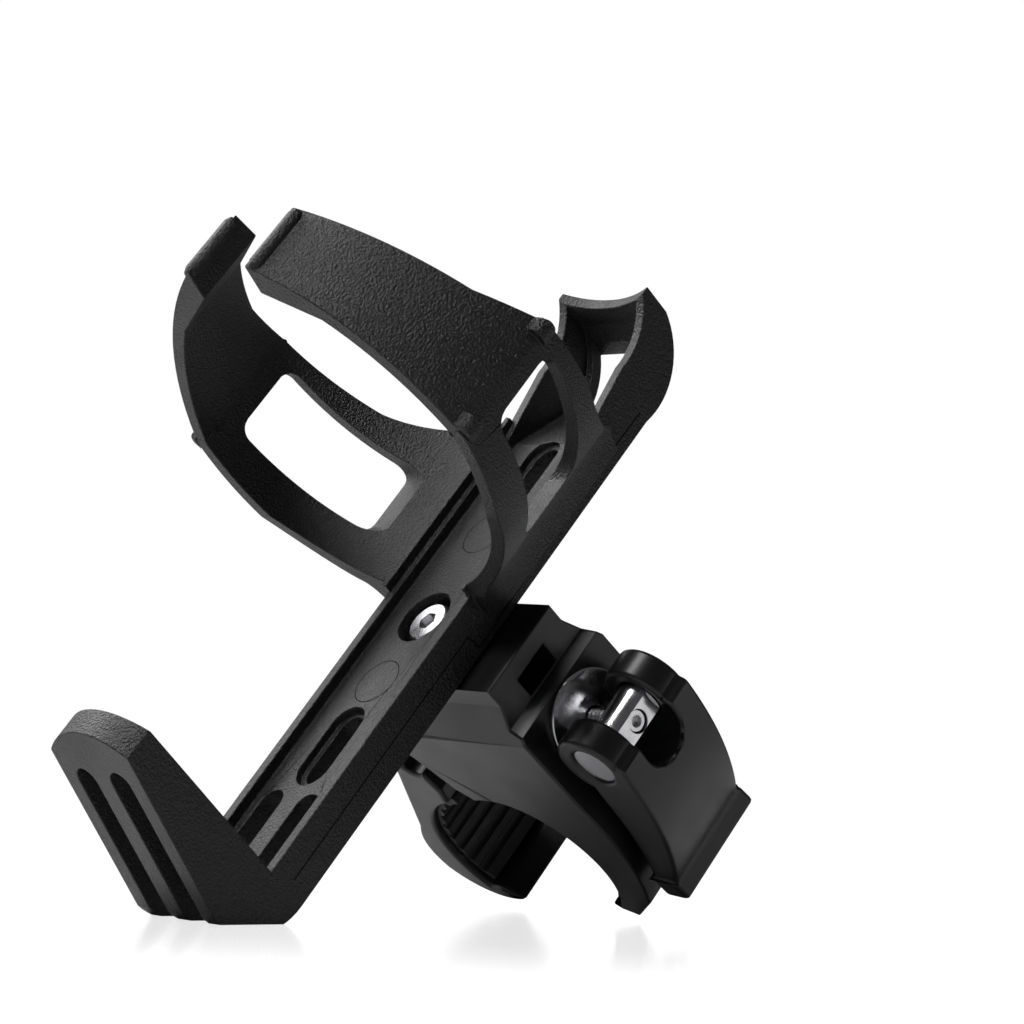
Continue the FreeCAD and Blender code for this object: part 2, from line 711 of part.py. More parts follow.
def make_lower_jaw():
    """The hinged jaw, drawn closed on the tube and then opened about its hinge."""
    body = new_body("lower_jaw")
    seat = "(tube_radius + pad_wall + seat_gap)"
    high_x, high_y = seat_point(seat, "lower_start")
    low_x, low_y = seat_point(seat, "lower_end")
    lip_x, lip_y = seat_point("(tube_radius - 1)", "lower_start - 6")
    plan = outline(body, "lower_jaw_plan", [
        ("jaw_neck_side", "jaw_neck_reach"),
        ("cheek_side - moving_gap", "cheek_reach + moving_gap"),
        ("stop_side - moving_gap", "stop_reach + moving_gap"),
        (low_x, low_y, "-%s" % seat),
        (high_x, high_y),
        (lip_x, lip_y),
        ("jaw_tip_side", "jaw_tip_reach", "jaw_tip_radius"),
        ("jaw_crown_side", "jaw_crown_reach", "jaw_crown_radius"),
        ("jaw_belly_side", "jaw_belly_reach"),
    ])
    add_pad(body, "lower_jaw_block", plan, "clamp_width")

    # The neck runs down between the cheeks to the knuckle.
    neck = outline(body, "neck_plan", [
        ("jaw_neck_side", "jaw_neck_reach + 2"),
        ("hinge_side - knuckle_radius", "hinge_reach", "knuckle_radius"),
        ("hinge_side + knuckle_radius", "hinge_reach"),
        ("neck_stop_side - moving_gap", "hinge_reach + 5"),
        ("neck_stop_side - moving_gap", "stop_reach - 4"),
        (low_x, low_y),
    ])
    add_pad(body, "neck", neck, "neck_width")
    pin_bore = ring(body, "knuckle_bore_outline", "hinge_side", "hinge_reach",
                    "hinge_pin_radius + turning_gap")
    cut_pocket(body, "knuckle_bore", pin_bore, "2 * clamp_width")
    closed = "(screw_tilt + jaw_open_angle / 2)"
    socket = ring(body, "barrel_socket_outline", "hinge_side + barrel_arm * sin(%s)" % closed,
                  "hinge_reach + barrel_arm * cos(%s)" % closed, "barrel_radius + barrel_gap")
    cut_pocket(body, "barrel_socket", socket, "2 * clamp_width")
    window = outline(body, "screw_window_outline", [
        ("2 * hinge_side", "hinge_reach + barrel_arm - screw_swing"),
        ("0", "hinge_reach + barrel_arm - screw_swing"),
        ("0", "hinge_reach + barrel_arm + screw_swing"),
        ("2 * hinge_side", "hinge_reach + barrel_arm + screw_swing"),
    ])
    cut_pocket(body, "screw_window", window, "2 * (screw_radius + screw_gap)")
    open_jaw(body)
    return body


def on_screw(label):
    """A body whose own X runs along the draw screw from the cross dowel's axis outwards."""
    body = doc.addObject("PartDesign::Body", label)
    body.Label = label
    bind(body, "Placement.Rotation.Angle", "-sizes.screw_tilt")
    body.Placement.Rotation.Axis = FreeCAD.Vector(0, 0, 1)
    bind(body, "Placement.Base.x", named("dowel_side - tube_side"))
    bind(body, "Placement.Base.y", named("dowel_reach - tube_distance"))
    return body


# Place of the cam's face along the draw screw when the lever is closed, with its gap.
CAM_FACE = "-(cam_radius + cam_throw + moving_gap)"

# Place of the barrel nut along the draw screw, counted from the dowel: the hinge's foot point
# on the screw's line, further out by half of the jaw's swing.
BARREL_PLACE = ("((hinge_side - dowel_side) * cos(screw_tilt)"
                " - (hinge_reach - dowel_reach) * sin(screw_tilt)"
                " - barrel_arm * sin(jaw_open_angle / 2))")


def make_hinge_pin():
    """The steel pin of the lower jaw, flush with the cheeks."""
    body = new_body("hinge_pin")
    circle = ring(body, "hinge_pin_outline", "hinge_side", "hinge_reach", "hinge_pin_radius")
    add_pad(body, "hinge_pin_rod", circle, "base_width")
    return body


def make_barrel_nut():
    """The round cross nut in the lower jaw's neck that the draw screw pulls."""
    body = on_screw("barrel_nut")
    circle = ring(body, "barrel_outline", BARREL_PLACE, "0", "barrel_radius")
    add_pad(body, "barrel", circle, "barrel_length")
    bore = ring(body, "barrel_bore_outline", "0", "0", "screw_radius + seat_gap", "YZ_Plane",
                BARREL_PLACE)
    cut_pocket(body, "barrel_bore", bore, "4 * barrel_radius")
    return body


def make_draw_screw():
    """The screw from the cross dowel to the barrel nut."""
    body = on_screw("draw_screw")
    circle = ring(body, "screw_outline", "0", "0", "screw_radius", "YZ_Plane",
                  BARREL_PLACE + " - screw_end")
    add_pad(body, "screw_rod", circle,
            "-%s + screw_end + dowel_flat - screw_sink" % BARREL_PLACE, False)
    return body


def make_cross_dowel():
    """The lever's axle: a steel dowel with a flat and a cross bore for the draw screw."""
    body = on_screw("cross_dowel")
    circle = ring(body, "dowel_outline", "0", "0", "dowel_radius")
    add_pad(body, "dowel", circle, "lever_width - 2 * dowel_end_gap")
    flat = outline(body, "dowel_flat_outline", [
        ("dowel_flat", "-2 * dowel_radius"),
        ("2 * dowel_radius", "-2 * dowel_radius"),
        ("2 * dowel_radius", "2 * dowel_radius"),
        ("dowel_flat", "2 * dowel_radius"),
    ])
    cut_pocket(body, "dowel_flat_cut", flat, "fork_width")
    bore = ring(body, "dowel_bore_outline", "0", "0", "screw_radius + running_gap", "YZ_Plane")
    cut_pocket(body, "dowel_bore", bore, "4 * dowel_radius")
    return body


def make_cam_washer():
    """The dished steel washer between the lever's cam and the clamp body."""
    body = on_screw("cam_washer")
    near = CAM_FACE
    seat = "%s - washer_wall - washer_dish" % near
    hole = "(screw_radius + screw_gap)"
    profile = outline(body, "washer_profile", [
        (near + " - washer_dish", "washer_radius"),
        (seat, "washer_radius"),
        (seat, "washer_radius - washer_wall"),
        (near + " - washer_wall", hole),
        (near, hole),
        (near, "washer_radius / 2"),
    ])
    turn_axis(body, "washer_disc", profile)
    return body


def make_lever():
    """The cam lever: a forked cam round the dowel and a curved channel-shaped handle."""
    body = new_body("lever")
    outer = "(cam_radius + cam_throw / 2)"
    back_x, back_y = on_circle("dowel_side", "dowel_reach", outer, "5")
    cam_x, cam_y = on_circle("dowel_side", "dowel_reach", outer, "100")
    plan = outline(body, "lever_plan", [
        (back_x, back_y, "lever_back_radius"),
        ("lever_back_side", "lever_back_reach"),
        ("lever_tip_side", "lever_tip_reach"),
        ("lever_tip_side - lever_tip_wall", "lever_tip_reach - lever_tip_slant"),
        ("lever_back_side - lever_back_wall", "lever_back_reach - lever_back_step",
         "-lever_inner_radius"),
        ("dowel_side - handle_root_side", "dowel_reach + handle_root_reach"),
        ("dowel_side - dowel_radius", "dowel_reach"),
        ("dowel_side", "dowel_reach - dowel_radius"),
    ])
    add_pad(body, "handle", plan, "lever_width")
    centre_x = "dowel_side - cam_throw * cos(screw_tilt)"
    centre_y = "dowel_reach + cam_throw * sin(screw_tilt)"
    cam = ring(body, "cam_outline", centre_x, centre_y, "cam_radius")
    add_pad(body, "cam", cam, "lever_width")

    # The tip flares a little wider than the handle.
    flange = outline(body, "tip_flange_outline", [
        ("lever_back_side", "lever_back_reach"),
        ("lever_tip_side", "lever_tip_reach"),
        ("lever_tip_side - lever_tip_wall", "lever_tip_reach - lever_tip_slant"),
        ("lever_back_side - lever_back_wall", "lever_back_reach - lever_back_step / 2"),
    ])
    add_pad(body, "tip_flange_pad", flange, "lever_width + 2 * tip_flange")

    # The inner side is open between two side walls.
    trough = outline(body, "trough_outline", [
        ("dowel_side - 2 * dowel_radius", "dowel_reach + trough_start"),
        ("dowel_side + 0.7 * dowel_radius", "dowel_reach + trough_start",
         "lever_back_radius - lever_wall"),
        ("lever_back_side - lever_wall", "lever_back_reach - lever_back_step"),
        ("lever_back_side - 4 * lever_wall", "lever_back_reach - lever_back_step"),
    ])
    cut_pocket(body, "trough", trough, "lever_width - 2 * lever_wall")

    # Fork slot for the screw, with a round end, and the bore of the dowel.
    reach = "(8 * cam_radius)"
    slot = outline(body, "fork_outline", [
        ("dowel_reach - %s" % reach, "-fork_width / 2"),
        ("dowel_reach + fork_reach - fork_width / 2", "-fork_width / 2", "fork_width / 2"),
        ("dowel_reach + fork_reach - fork_width / 2", "fork_width / 2"),
        ("dowel_reach - %s" % reach, "fork_width / 2"),
    ], "YZ_Plane")
    cut_pocket(body, "fork", slot, "8 * clamp_width")
    bore = ring(body, "lever_bore_outline", "dowel_side", "dowel_reach",
                "dowel_radius + turning_gap")
    cut_pocket(body, "lever_bore", bore, "2 * clamp_width")
    return body


def make_cage_bolt():
    """The bolt that holds the frame on the clamp, with a socket in its round head."""
    body = new_body("cage_bolt")
    under = "(spine_depth - bolt_seat_wall)"
    profile = outline(body, "bolt_profile", [
        ("0", "%s - bolt_head_height" % under),
        ("bolt_head_radius - 0.6", "%s - bolt_head_height" % under),
        ("bolt_head_radius", "%s - bolt_head_height + 0.6" % under),
        ("bolt_head_radius", under),
        ("bolt_radius", under),
        ("bolt_radius", "%s + bolt_length" % under),
        ("0", "%s + bolt_length" % under),
    ])
    turn_axis(body, "bolt_solid", profile, "V_Axis")
    corner_radius = "bolt_socket_radius / cos(30)"
    corners = [on_circle("0", "0", corner_radius, str(60 * step)) for step in range(6)]
    hexagon = outline(body, "bolt_socket_outline", corners, "XZ_Plane",
                      "-(%s - bolt_head_height - 1)" % under)
    cut_pocket(body, "bolt_socket", hexagon, "bolt_socket_depth + 1", False)
    return body


def make_cage_nut():
    """The square nut that slides into the clamp's base."""
    body = new_body("cage_nut")
    face = "nut_place + seat_gap"
    plan = outline(body, "nut_plan", [
        ("-nut_width / 2", face),
        ("nut_width / 2", face),
        ("nut_width / 2", face + " + nut_height"),
        ("-nut_width / 2", face + " + nut_height"),
    ])
    add_pad(body, "nut_block", plan, "nut_width")
    bore = ring(body, "nut_bore_outline", "0", "0", "bolt_radius + seat_gap", "XZ_Plane")
    cut_pocket(body, "nut_bore", bore, "4 * nut_place")
    return body


def check_and_write(labels):
    """Stop on any failed object; otherwise write one file for each sub-part."""
    doc.recompute()
    failed = [item.Name for item in doc.Objects
              if "Invalid" in item.State or "Error" in item.State]
    if failed:
        raise RuntimeError("failed objects: %s" % ", ".join(failed))
    os.makedirs("parts", exist_ok=True)
    for label in labels:
        shape = doc.getObject(label).Shape
        if shape.isNull() or not shape.isValid() or not shape.Solids:
            raise RuntimeError("no valid solid in %s" % label)
        print(label, "solids", len(shape.Solids), "volume", round(shape.Volume, 1))
        shape.exportStep(os.path.join("parts", label + ".step"))


make_cage_frame()
make_cage_bolt()
make_cage_nut()
make_clamp_body()
make_hinge_pin()
make_lower_jaw()
open_jaw(arc_pad("lower_pad", "lower_start", "lower_end", 8))
arc_pad("upper_pad", "upper_start", UPPER_END, 0)
make_draw_screw()
make_barrel_nut()
make_cross_dowel()
make_cam_washer()
make_lever()
check_and_write([
    "cage_frame", "cage_bolt", "cage_nut", "clamp_body", "hinge_pin", "lower_jaw", "lower_pad",
    "upper_pad", "draw_screw", "barrel_nut", "cross_dowel", "cam_washer", "lever",
])
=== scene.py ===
# Bottle cage with a quick-release tube clamp: finish, stage, lights and camera.

import bpy
import json
import math
from mathutils import Matrix, Vector


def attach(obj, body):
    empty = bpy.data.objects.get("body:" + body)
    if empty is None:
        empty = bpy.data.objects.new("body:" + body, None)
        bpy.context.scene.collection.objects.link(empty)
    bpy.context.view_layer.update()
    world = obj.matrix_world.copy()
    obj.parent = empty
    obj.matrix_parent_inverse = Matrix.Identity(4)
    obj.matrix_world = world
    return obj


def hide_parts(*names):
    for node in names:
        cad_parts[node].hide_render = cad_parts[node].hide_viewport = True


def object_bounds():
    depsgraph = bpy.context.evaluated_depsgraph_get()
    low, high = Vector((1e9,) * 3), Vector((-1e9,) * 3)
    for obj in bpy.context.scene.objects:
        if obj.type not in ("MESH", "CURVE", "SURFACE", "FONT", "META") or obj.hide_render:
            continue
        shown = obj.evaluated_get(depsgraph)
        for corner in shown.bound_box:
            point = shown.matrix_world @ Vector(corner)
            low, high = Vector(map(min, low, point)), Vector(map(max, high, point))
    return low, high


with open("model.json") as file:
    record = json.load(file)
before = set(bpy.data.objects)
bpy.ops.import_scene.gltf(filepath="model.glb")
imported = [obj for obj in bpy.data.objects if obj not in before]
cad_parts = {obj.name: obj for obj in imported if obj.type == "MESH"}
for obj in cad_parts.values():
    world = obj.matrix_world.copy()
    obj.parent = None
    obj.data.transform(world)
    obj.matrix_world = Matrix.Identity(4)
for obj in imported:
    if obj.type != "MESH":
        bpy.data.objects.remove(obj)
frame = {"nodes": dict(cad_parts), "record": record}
cad_low, cad_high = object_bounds()

MM = 0.001

# Camera of the photograph, in the part's frame.
CAMERA_PLACE = Vector((0.4191, -0.2982, -0.2008))
CAMERA_RIGHT = Vector((0.6291, 0.5674, 0.5314))
CAMERA_DOWN = Vector((0.0041, 0.6812, -0.7321))
CAMERA_LENS = 104.3
CAMERA_SENSOR = 36.0

# The floor of the photograph passes under the foot's heel and the tips of the two jaws.
FLOOR_DOWN = Vector((0.038, 0.622, -0.782)).normalized()
FLOOR_RADIUS = 0.9
FLOOR_GAP = 0.6 * MM

# What the camera sees of the floor: a glow, and a share of blurred mirror image with a gain of its own.
FLOOR_GLOW = 2.5
FLOOR_MIRROR = 0.7
FLOOR_MIRROR_GAIN = 5.0
FLOOR_MIRROR_BLUR = 0.12

# The mirror image fades out towards the camera over this stretch of floor.
MIRROR_FADE_START = 0.01
MIRROR_FADE_END = 0.3

# Strength of the world as a light; the camera sees it white.
WORLD_LIGHT = 0.08

# Lamps: place and side of the square in metres, and power in watts.
LAMPS = {
    "front_lamp": ((-0.01, -0.64, 0.24), 0.2, 2.4),
    "left_lamp": ((-0.46, -0.38, 0.22), 0.5, 2.8),
    "right_lamp": ((0.46, 0.30, 0.22), 0.4, 0.45),
}

# Parts of a plastic's shade in red, green and blue: the plain one, and those of dark and light specks.
PLAIN_TINT = (1.0, 1.0, 1.2)
DARK_SPECK = (0.88, 0.88, 1.1)
LIGHT_SPECK = (1.15, 1.15, 1.4)
SPECK_SCALE = 2600.0
GLOSS_SCALE = 90.0

# Rounding of the edges of each solid; what isn't named here takes SMALL_ROUNDING.
EDGE_ROUNDING = {
    "cage_frame": 0.25 * MM,
    "clamp_body": 0.4 * MM,
    "lower_jaw": 0.9 * MM,
    "lever": 0.8 * MM,
}
SMALL_ROUNDING = 0.25 * MM
ROUNDED_FROM = math.radians(35)
JOIN_DISTANCE = 0.001 * MM

# In these solids the triangles of a flat face are made one face again.
WHOLE_FLATS = ("lever", "lower_jaw")
FLAT_WITHIN = math.radians(0.5)

# The clamp bolt's axis lies here in the part's frame, and heights count from the foot's bottom.
BOLT_SIDE = 3.5 * MM
BOLT_REACH = -54.8 * MM
FOOT_HEIGHT = -70.0 * MM

# Half of the spine's width, the reach of the face that the bottle leans on, and the reach of the
# place where the heel stands on the ground, in millimetres.
SPINE_HALF_WIDTH = 12.0
SPINE_FACE_REACH = 2.0
HEEL_REACH = -3.0

# Seams on the side walls of the spine as (reach, height): the root plate's outline and the line above it.
# They are drawn as dark lines of painted shade.
SEAMS = [
    [(4.5, 14.5), (4.5, 67.9), (7.6, 68.4), (6.2, 115.4), (1.7, 115.1)],
    [(6.2, 115.4), (6.4, 124.0)],
]
SEAM_HALF_WIDTH = 0.11

# The painted shade of the seams and pin marks lies this far off the surface, in millimetres, so that it
# shows.
MARK_PROUD = 0.015

# Round marks of the mould's pins, drawn as thin rings of painted shade: their heights, and the inner and
# outer radius of the line.
PIN_HEIGHTS = (55.0, 90.0)
PIN_RADII = (4.6, 4.8)
PIN_CORNERS = 48

# The free edge of each arm, from the bolt's axis and the foot, in millimetres.
TIP_EDGE_SIDE = 9.6
TIP_EDGE_REACH = -69.1
TIP_EDGE_LOW = 83.2
TIP_EDGE_TOP = 97.4
TIP_BEAD_RADIUS = 1.5 * MM

# Share of the bead's length and of its radius at each of its points.
TIP_BEAD_SHAPE = ((0.0, 0.3), (0.03, 0.75), (0.1, 1.0), (0.9, 1.0), (0.97, 0.75), (1.0, 0.3))

# The draw screw runs from the cross dowel's centre towards the hinged jaw.
DOWEL_PLACE = Vector((36.3 * MM, -27.6 * MM, 0.0))
SCREW_TILT = math.radians(2.0)
SCREW_OUTER = 3.0 * MM
SCREW_LENGTH = 60.0 * MM
THREAD_RADIUS = 2.0 * MM
THREAD_DEPTH = 0.32 * MM
THREAD_PITCH = 1.0 * MM
SCREW_CORNERS = 18
RINGS_PER_TURN = 5

# The screw's outer end from its rim to the bottom of its round bore: radius and depth in millimetres.
SCREW_END = ((1.45, 0.0), (1.1, 0.0), (1.1, 1.2), (0.01, 1.3))


def material(name, base, roughness, metallic=0.0, specular=0.5):
    """A principled material and the nodes that its details are wired to."""
    made = bpy.data.materials.new(name)
    made.use_nodes = True
    tree = made.node_tree
    shader = tree.nodes["Principled BSDF"]
    shader.inputs["Base Color"].default_value = (*base, 1.0)
    shader.inputs["Roughness"].default_value = roughness
    shader.inputs["Metallic"].default_value = metallic
    shader.inputs["Specular IOR Level"].default_value = specular
    return made, tree, shader


def noise(tree, scale, detail=3.0, stretch=None):
    """A noise pattern in object space; scale is in turns per metre."""
    coordinates = tree.nodes.new("ShaderNodeTexCoord")
    pattern = tree.nodes.new("ShaderNodeTexNoise")
    pattern.inputs["Scale"].default_value = scale
    pattern.inputs["Detail"].default_value = detail
    source = coordinates.outputs["Object"]
    if stretch:
        mapping = tree.nodes.new("ShaderNodeMapping")
        mapping.inputs["Scale"].default_value = stretch
        tree.links.new(source, mapping.inputs["Vector"])
        source = mapping.outputs["Vector"]
    tree.links.new(source, pattern.inputs["Vector"])
    return pattern.outputs["Fac"]


def ramp(tree, source, low, high, start=0.3, end=0.7):
    """Spread a pattern between two values."""
    spread = tree.nodes.new("ShaderNodeMapRange")
    spread.inputs["From Min"].default_value = start
    spread.inputs["From Max"].default_value = end
    spread.inputs["To Min"].default_value = low
    spread.inputs["To Max"].default_value = high
    tree.links.new(source, spread.inputs["Value"])
    return spread.outputs["Result"]


def bump(tree, shader, height, strength, distance):
    """Raise the surface by a pattern."""
    node = tree.nodes.new("ShaderNodeBump")
    node.inputs["Strength"].default_value = strength
    node.inputs["Distance"].default_value = distance
    tree.links.new(height, node.inputs["Height"])
    tree.links.new(node.outputs["Normal"], shader.inputs["Normal"])


def moulded_plastic(name, shade, rough, grain_size, grain_height):
    """Moulded black plastic: fine grain, slightly uneven gloss and shade."""
    made, tree, shader = material(name, tuple(shade * part for part in PLAIN_TINT), rough)
    grain = noise(tree, 1.0 / grain_size, 4.0)
    bump(tree, shader, grain, 1.0, grain_height)
    uneven = noise(tree, GLOSS_SCALE, 2.0)
    tree.links.new(ramp(tree, uneven, rough - 0.05, rough + 0.06), shader.inputs["Roughness"])
    tint = tree.nodes.new("ShaderNodeMix")
    tint.data_type = "RGBA"
    tint.inputs["A"].default_value = (*(shade * part for part in DARK_SPECK), 1)
    tint.inputs["B"].default_value = (*(shade * part for part in LIGHT_SPECK), 1)
    tree.links.new(ramp(tree, noise(tree, SPECK_SCALE, 2.0), 0.0, 1.0), tint.inputs["Factor"])
    tree.links.new(tint.outputs["Result"], shader.inputs["Base Color"])
    return made


def rubber():
    """Dull black rubber of the jaw pads."""
    made, tree, shader = material("pad_rubber", (0.006, 0.006, 0.006), 0.6)
    bump(tree, shader, noise(tree, 5200.0, 3.0), 0.4, 0.03 * MM)
    dust = noise(tree, 160.0, 4.0)
    tree.links.new(ramp(tree, dust, 0.52, 0.7), shader.inputs["Roughness"])
    return made


def plated_steel():
    """Bright plated steel with faint turning marks."""
    made, tree, shader = material("plated_steel", (0.6, 0.6, 0.62), 0.24, metallic=1.0)
    marks = noise(tree, 900.0, 3.0, (1.0, 1.0, 6.0))
    bump(tree, shader, marks, 0.25, 0.02 * MM)
    tree.links.new(ramp(tree, noise(tree, 300.0, 2.0), 0.14, 0.3), shader.inputs["Roughness"])
    return made


def make_finishes():
    """The finish of each material slot."""
    return {
        "frame_plastic": moulded_plastic("frame_plastic", 0.005, 0.36, 0.45 * MM, 0.4 * MM),
        "clamp_plastic": moulded_plastic("clamp_plastic", 0.005, 0.36, 0.14 * MM, 0.012 * MM),
        "lever_plastic": moulded_plastic("lever_plastic", 0.006, 0.33, 0.14 * MM, 0.01 * MM),
        "pad_rubber": rubber(),
        "steel": plated_steel(),
    }


def soften(name, node):
    """Join the faces of a solid's mesh, round its edges and shade its curved faces evenly."""
    whole = node.modifiers.new("joined_faces", "WELD")
    whole.merge_threshold = JOIN_DISTANCE
    if name in WHOLE_FLATS:
        flats = node.modifiers.new("whole_flats", "DECIMATE")
        flats.decimate_type = "DISSOLVE"
        flats.angle_limit = FLAT_WITHIN
    edges = node.modifiers.new("soft_edges", "BEVEL")
    edges.width = EDGE_ROUNDING.get(name, SMALL_ROUNDING)
    edges.segments = 3
    edges.use_clamp_overlap = name not in EDGE_ROUNDING
    edges.limit_method = "ANGLE"
    edges.angle_limit = ROUNDED_FROM
    edges.harden_normals = True
    even = node.modifiers.new("even_shading", "WEIGHTED_NORMAL")
    even.keep_sharp = True
    even.weight = 80


def dress_nodes(finishes):
    """Give each solid the finish of its slot and soft edges."""
    slots = {entry["node"]: entry["material_slot"] for entry in frame["record"]["subparts"]}
    for name, node in frame["nodes"].items():
        node.data.materials.clear()
        node.data.materials.append(finishes[slots[name]])
        soften(name, node)


def mesh_piece(name, corners, faces, body, finish):
    """A mesh that rides on a body and takes the finish of a material slot."""
    mesh = bpy.data.meshes.new(name)
    mesh.from_pydata(corners, [], faces)
    mesh.update()
    piece = bpy.data.objects.new(name, mesh)
    bpy.context.collection.objects.link(piece)
    mesh.materials.append(finish)
    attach(piece, body)
    return piece


def frame_point(across, reach, height):
    """A place of the moulded frame, in millimetres from the clamp bolt's axis and the foot."""
    return Vector((BOLT_SIDE + across * MM, BOLT_REACH + reach * MM, FOOT_HEIGHT + height * MM))


def add_parting_line_shade(finish):
    """Painted shade: fine dark lines along the seams on both side walls of the spine, with the outline of
    each root plate.
    """
    corners = []
    faces = []
    for side in (SPINE_HALF_WIDTH + MARK_PROUD, -SPINE_HALF_WIDTH - MARK_PROUD):
        for seam in SEAMS:
            for (reach_1, height_1), (reach_2, height_2) in zip(seam, seam[1:]):
                length = math.hypot(reach_2 - reach_1, height_2 - height_1)
                off_reach = -(height_2 - height_1) / length * SEAM_HALF_WIDTH
                off_height = (reach_2 - reach_1) / length * SEAM_HALF_WIDTH
                first = len(corners)
                corners += [
                    frame_point(side, reach_1 + off_reach, height_1 + off_height),
                    frame_point(side, reach_2 + off_reach, height_2 + off_height),
                    frame_point(side, reach_2 - off_reach, height_2 - off_height),
                    frame_point(side, reach_1 - off_reach, height_1 - off_height),
                ]
                faces.append((first, first + 1, first + 2, first + 3))
    mesh_piece("parting_line_shade", corners, faces, "cage", finish)


def add_pin_mark_shade(finish):
    """Painted shade: thin dark rings where the mould's pins leave round marks on the spine's face towards
    the bottle.
    """
    corners = []
    faces = []
    for height in PIN_HEIGHTS:
        first = len(corners)
        for step in range(PIN_CORNERS):
            angle = 2 * math.pi * step / PIN_CORNERS
            for radius in PIN_RADII:
                corners.append(frame_point(radius * math.cos(angle), SPINE_FACE_REACH - MARK_PROUD,
                                           height + radius * math.sin(angle)))
        for step in range(PIN_CORNERS):
            here = first + 2 * step
            there = first + 2 * ((step + 1) % PIN_CORNERS)
            faces.append((here, here + 1, there + 1, there))
    mesh_piece("pin_mark_shade", corners, faces, "cage", finish)


def add_tip_beads(finish):
    """A rounded bead along the free edge of each arm, with round ends."""
    for name, sign in (("tip_bead_right", 1), ("tip_bead_left", -1)):
        low = frame_point(sign * TIP_EDGE_SIDE, TIP_EDGE_REACH, TIP_EDGE_LOW)
        top = frame_point(sign * TIP_EDGE_SIDE, TIP_EDGE_REACH, TIP_EDGE_TOP)
        curve = bpy.data.curves.new(name, "CURVE")
        curve.dimensions = "3D"
        curve.bevel_depth = TIP_BEAD_RADIUS
        curve.bevel_resolution = 6
        spline = curve.splines.new("POLY")
        spline.points.add(len(TIP_BEAD_SHAPE) - 1)
        for point, (share, swell) in zip(spline.points, TIP_BEAD_SHAPE):
            point.co = (*low.lerp(top, share), 1.0)
            point.radius = swell
        curve.use_fill_caps = True
        curve.materials.append(finish)
        bead = bpy.data.objects.new(name, curve)
        bpy.context.collection.objects.link(bead)
        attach(bead, "cage")


def add_draw_screw(finish):
    """The draw screw with its thread and a round bore in its outer end."""
    around = SCREW_CORNERS
    steps = int(SCREW_LENGTH / THREAD_PITCH * RINGS_PER_TURN)
    rings = []
    for step in range(steps + 1):
        along = -SCREW_LENGTH * (1 - step / steps)
        ring = []
        for corner in range(around):
            turn = (along / THREAD_PITCH - corner / around) % 1.0
            radius = THREAD_RADIUS - THREAD_DEPTH * abs(2 * turn - 1)
            ring.append((along, radius, 2 * math.pi * corner / around))
        rings.append(ring)
    for radius, depth in SCREW_END:
        rings.append([(-depth * MM, radius * MM, 2 * math.pi * corner / around)
                      for corner in range(around)])
    direction = Vector((math.cos(SCREW_TILT), -math.sin(SCREW_TILT), 0.0))
    side = Vector((math.sin(SCREW_TILT), math.cos(SCREW_TILT), 0.0))
    up = Vector((0.0, 0.0, 1.0))
    corners = [DOWEL_PLACE + direction * (SCREW_OUTER + along)
               + side * (radius * math.cos(angle)) + up * (radius * math.sin(angle))
               for ring in rings for along, radius, angle in ring]
    faces = []
    for number in range(len(rings) - 1):
        for corner in range(around):
            here = number * around + corner
            beside = number * around + (corner + 1) % around
            faces.append((here, beside, beside + around, here + around))
    faces.append(tuple(reversed(range(around))))
    piece = mesh_piece("threaded_screw", corners, faces, "draw", finish)
    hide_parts("draw_screw")


def add_floor():
    """A white floor just under the places where the object would touch it."""
    heel = frame_point(SPINE_HALF_WIDTH, HEEL_REACH, 0.0)
    bpy.ops.mesh.primitive_circle_add(vertices=96, radius=FLOOR_RADIUS, fill_type="NGON")
    floor = bpy.context.object
    floor.name = "floor"
    up = -FLOOR_DOWN
    floor.matrix_world = (Matrix.Translation(heel + FLOOR_DOWN * FLOOR_GAP)
                          @ up.to_track_quat("Z", "Y").to_matrix().to_4x4())
    floor.data.materials.append(floor_material(heel))


def mirror_fade(tree, heel):
    """The share of the mirror image, less and less from the heel towards the camera."""
    forward = CAMERA_PLACE - heel
    forward -= FLOOR_DOWN * forward.dot(FLOOR_DOWN)
    forward.normalize()
    geometry = tree.nodes.new("ShaderNodeNewGeometry")
    reach = tree.nodes.new("ShaderNodeVectorMath")
    reach.operation = "DOT_PRODUCT"
    reach.inputs[1].default_value = forward
    tree.links.new(geometry.outputs["Position"], reach.inputs[0])
    fade = tree.nodes.new("ShaderNodeMapRange")
    fade.interpolation_type = "SMOOTHSTEP"
    fade.inputs["From Min"].default_value = heel.dot(forward) + MIRROR_FADE_START
    fade.inputs["From Max"].default_value = heel.dot(forward) + MIRROR_FADE_END
    fade.inputs["To Min"].default_value = FLOOR_MIRROR
    fade.inputs["To Max"].default_value = 0.0
    tree.links.new(reach.outputs["Value"], fade.inputs["Value"])
    return fade.outputs["Result"]


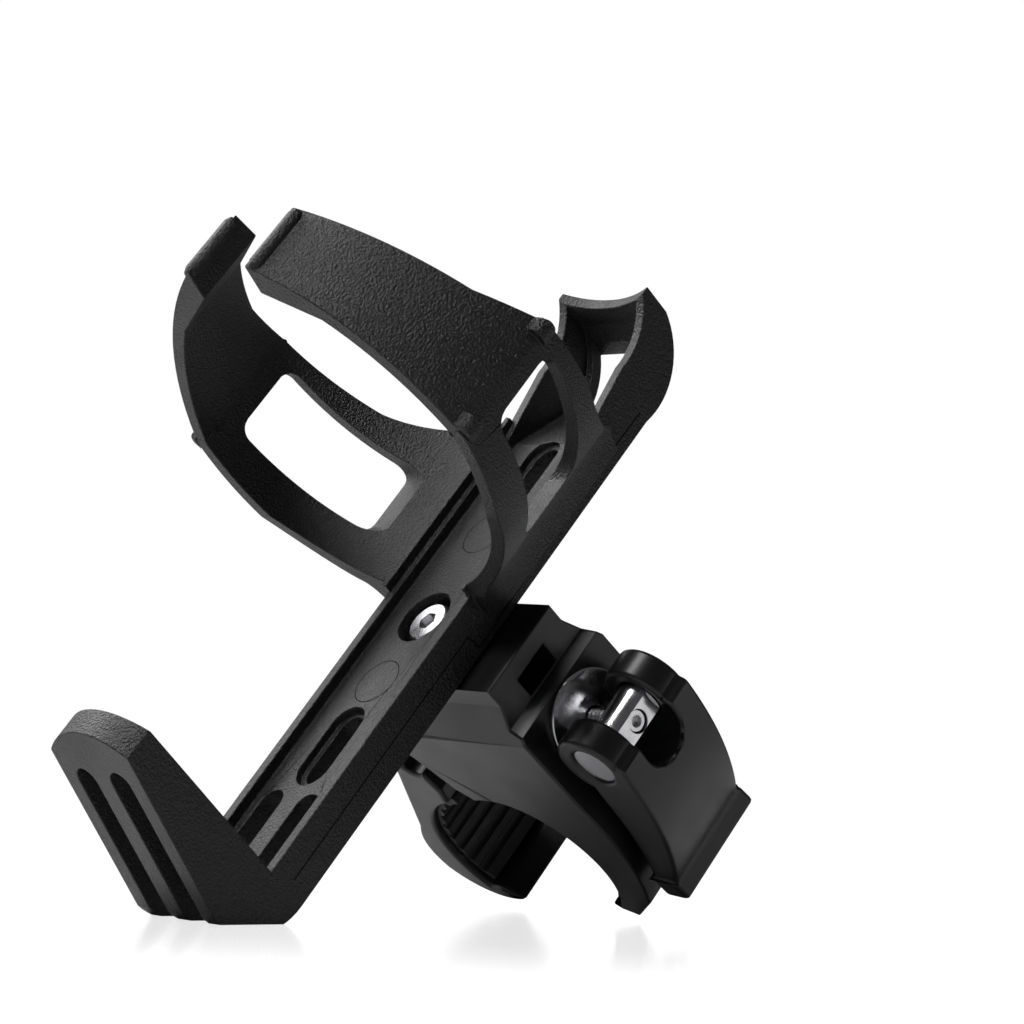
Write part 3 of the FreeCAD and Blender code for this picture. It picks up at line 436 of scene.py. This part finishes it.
def floor_material(heel):
    """White to the camera with a faint mirror image, clear from below, and matt as a light bounce."""
    made, tree, shader = material("floor_white", (0.8, 0.8, 0.8), 0.6)
    plain = tree.nodes.new("ShaderNodeEmission")
    plain.inputs["Strength"].default_value = FLOOR_GLOW
    mirror = tree.nodes.new("ShaderNodeBsdfGlossy")
    mirror.inputs["Color"].default_value = (FLOOR_MIRROR_GAIN, FLOOR_MIRROR_GAIN, FLOOR_MIRROR_GAIN, 1)
    mirror.inputs["Roughness"].default_value = FLOOR_MIRROR_BLUR
    shown = tree.nodes.new("ShaderNodeMixShader")
    tree.links.new(mirror_fade(tree, heel), shown.inputs["Fac"])
    tree.links.new(plain.outputs["Emission"], shown.inputs[1])
    tree.links.new(mirror.outputs["BSDF"], shown.inputs[2])
    path = tree.nodes.new("ShaderNodeLightPath")
    seen = tree.nodes.new("ShaderNodeMixShader")
    tree.links.new(path.outputs["Is Camera Ray"], seen.inputs["Fac"])
    tree.links.new(shader.outputs["BSDF"], seen.inputs[1])
    tree.links.new(shown.outputs["Shader"], seen.inputs[2])
    clear = tree.nodes.new("ShaderNodeBsdfTransparent")
    geometry = tree.nodes.new("ShaderNodeNewGeometry")
    front = tree.nodes.new("ShaderNodeMixShader")
    tree.links.new(geometry.outputs["Backfacing"], front.inputs["Fac"])
    tree.links.new(seen.outputs["Shader"], front.inputs[1])
    tree.links.new(clear.outputs["BSDF"], front.inputs[2])
    tree.links.new(front.outputs["Shader"], tree.nodes["Material Output"].inputs["Surface"])
    return made


def add_world():
    """White to the camera, and a faint even light on the object."""
    world = bpy.data.worlds.new("studio")
    bpy.context.scene.world = world
    world.use_nodes = True
    tree = world.node_tree
    background = tree.nodes["Background"]
    path = tree.nodes.new("ShaderNodeLightPath")
    strength = tree.nodes.new("ShaderNodeMapRange")
    strength.inputs["To Min"].default_value = WORLD_LIGHT
    strength.inputs["To Max"].default_value = 1.0
    tree.links.new(path.outputs["Is Camera Ray"], strength.inputs["Value"])
    tree.links.new(strength.outputs["Result"], background.inputs["Strength"])
    background.inputs["Color"].default_value = (1, 1, 1, 1)


def add_lamp(name, place, target, size, power):
    """A square soft lamp that looks at a point."""
    data = bpy.data.lights.new(name, "AREA")
    data.size = size
    data.energy = power
    lamp = bpy.data.objects.new(name, data)
    bpy.context.collection.objects.link(lamp)
    lamp.location = place
    lamp.rotation_euler = (Vector(target) - Vector(place)).to_track_quat("-Z", "Y").to_euler()


def add_camera():
    """The photograph's camera."""
    data = bpy.data.cameras.new("camera")
    data.lens = CAMERA_LENS
    data.sensor_width = CAMERA_SENSOR
    data.sensor_fit = "HORIZONTAL"
    data.clip_start = 0.01
    camera = bpy.data.objects.new("camera", data)
    bpy.context.collection.objects.link(camera)
    right = CAMERA_RIGHT.normalized()
    down = (CAMERA_DOWN - right * CAMERA_DOWN.dot(right)).normalized()
    back = right.cross(-down)
    turn = Matrix((right, -down, back)).transposed()
    camera.matrix_world = Matrix.Translation(CAMERA_PLACE) @ turn.to_4x4()
    bpy.context.scene.camera = camera


finishes = make_finishes()
dress_nodes(finishes)
# Near-black material that does not reflect, used as painted shade for the seams and the pin marks.
painted_groove_shade = material("painted_groove_shade", (0.001, 0.001, 0.001), 0.8, specular=0.05)[0]
add_parting_line_shade(painted_groove_shade)
add_pin_mark_shade(painted_groove_shade)
add_tip_beads(finishes["frame_plastic"])
add_draw_screw(finishes["steel"])
add_floor()
add_world()
centre = (cad_low[0] / 2 + cad_high[0] / 2, cad_low[1] / 2 + cad_high[1] / 2, 0.0)
for name, (place, size, power) in LAMPS.items():
    add_lamp(name, place, centre, size, power)
add_camera()

view = bpy.context.scene.view_settings
view.view_transform = "Standard"
